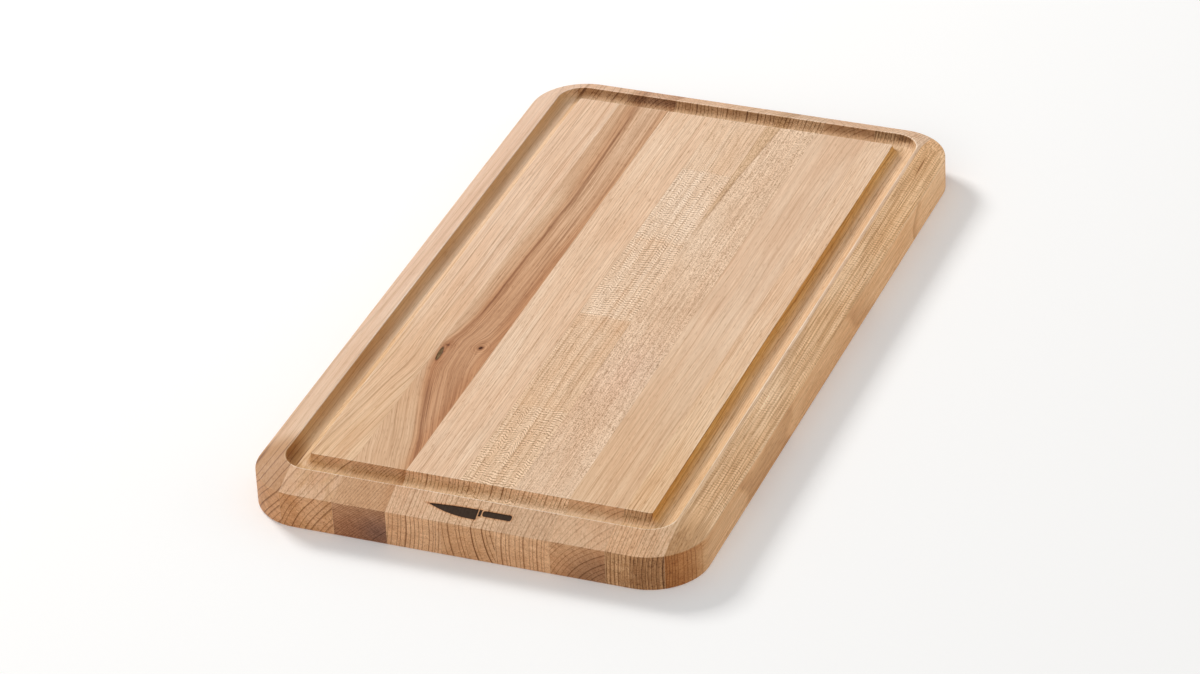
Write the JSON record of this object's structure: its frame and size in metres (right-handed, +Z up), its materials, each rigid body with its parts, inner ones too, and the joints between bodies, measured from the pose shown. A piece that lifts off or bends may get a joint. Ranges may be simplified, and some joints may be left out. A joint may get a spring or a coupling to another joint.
{
  "type": "cutting board",
  "caption": "Edge-glued maple cutting board with rounded corners, a wide bevelled rim and a juice groove around a flat cutting surface.",
  "frame": {"origin": "on the plane the board rests on, under the middle of its outline", "axes": "+X across the staves to the board's right, +Y along the staves to the back, +Z up out of the cutting surface"},
  "size_m": [0.3, 0.541, 0.0327],
  "materials": {
    "maple_left_edge": "satin",
    "maple_streaked": "satin",
    "maple_heartwood": "satin",
    "maple_pale": "satin",
    "maple_figured": "satin",
    "maple_flecked": "satin",
    "maple_tan": "satin",
    "maple_straight": "satin",
    "maple_right_edge": "satin",
    "wood_glue": "satin"
  },
  "bodies": {
    "root": {"stave_1_left_edge": "maple_left_edge", "stave_2_streaked": "maple_streaked", "stave_3_heartwood": "maple_heartwood", "stave_4_pale": "maple_pale", "stave_5_figured": "maple_figured", "stave_6_flecked": "maple_flecked", "stave_7_tan": "maple_tan", "stave_8_straight": "maple_straight", "stave_9_right_edge": "maple_right_edge", "glue_line_1": "wood_glue", "glue_line_2": "wood_glue", "glue_line_3": "wood_glue", "glue_line_4": "wood_glue", "glue_line_5": "wood_glue", "glue_line_6": "wood_glue", "glue_line_7": "wood_glue", "glue_line_8": "wood_glue"}
  },
  "joints": []
}
